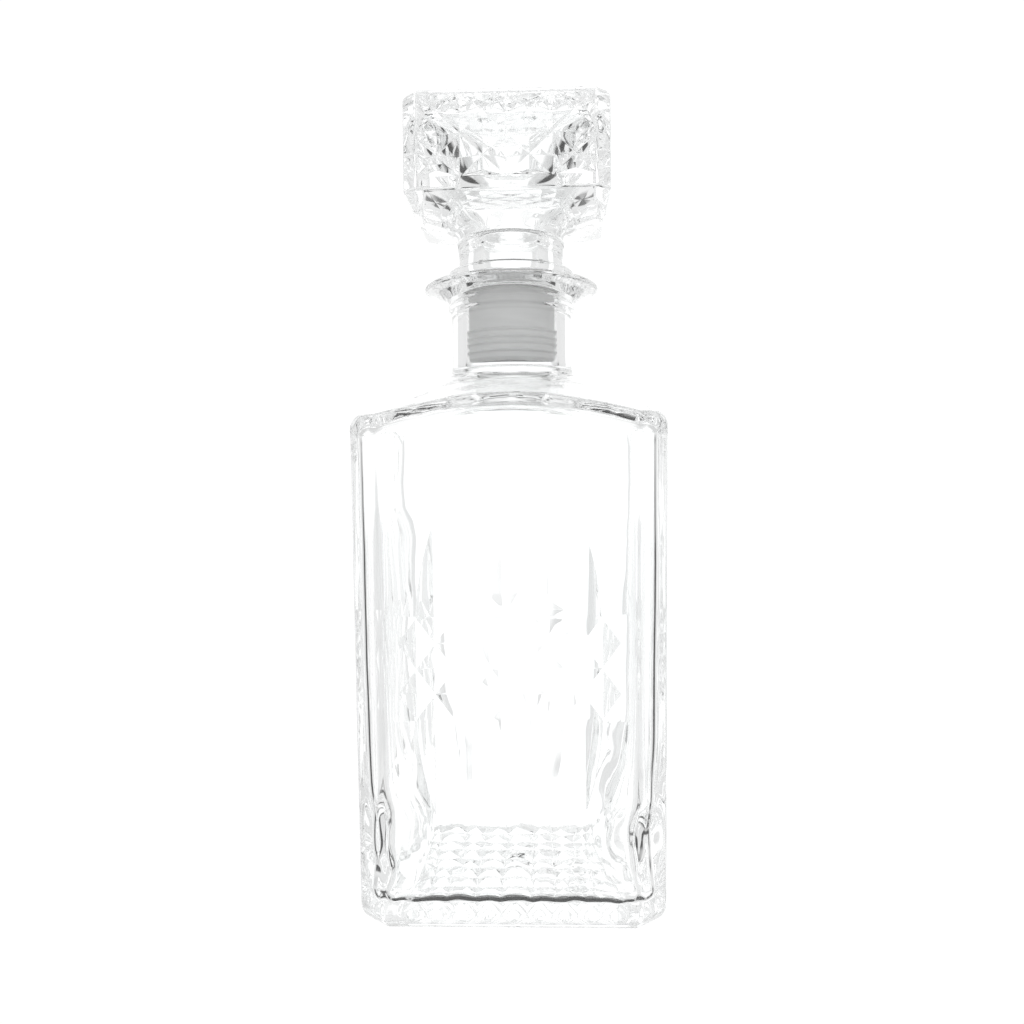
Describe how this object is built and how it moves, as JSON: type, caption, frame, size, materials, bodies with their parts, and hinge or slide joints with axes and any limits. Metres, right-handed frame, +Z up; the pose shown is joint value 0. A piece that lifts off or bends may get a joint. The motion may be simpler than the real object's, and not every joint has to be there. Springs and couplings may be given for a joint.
{
  "type": "decanter",
  "caption": "Square clear glass decanter with a cut diamond band, flanged neck, and a hollow square diamond-cut stopper that lifts out on a ribbed plastic sleeve.",
  "frame": {"origin": "centre of the flat base, where the decanter rests", "axes": "+Z up along the neck axis, the four flat faces square to X and Y, -Y is the front"},
  "size_m": [0.094, 0.094, 0.2507],
  "materials": {
    "bottle_glass": "clear colourless glass, fire-polished, slightly wavy inside",
    "stopper_glass": "clear colourless pressed glass, polished facets",
    "sleeve_plastic": "translucent natural polyethylene, fine satin with a mould line"
  },
  "bodies": {
    "decanter": {"decanter_body": "bottle_glass", "decanter_neck": "bottle_glass"},
    "sleeve": {"stopper_seal": "sleeve_plastic"},
    "stopper": {"stopper": "stopper_glass"}
  },
  "joints": [
    {"name": "stopper_lift", "type": "slide", "parent": "decanter", "child": "sleeve", "axis": [0, 0, 1], "range_m": [0, 0.06]},
    {"name": "stopper_turn", "type": "hinge", "parent": "sleeve", "child": "stopper", "pos_m": [0, 0, 0.193], "axis": [0, 0, 1], "continuous": true}
  ]
}
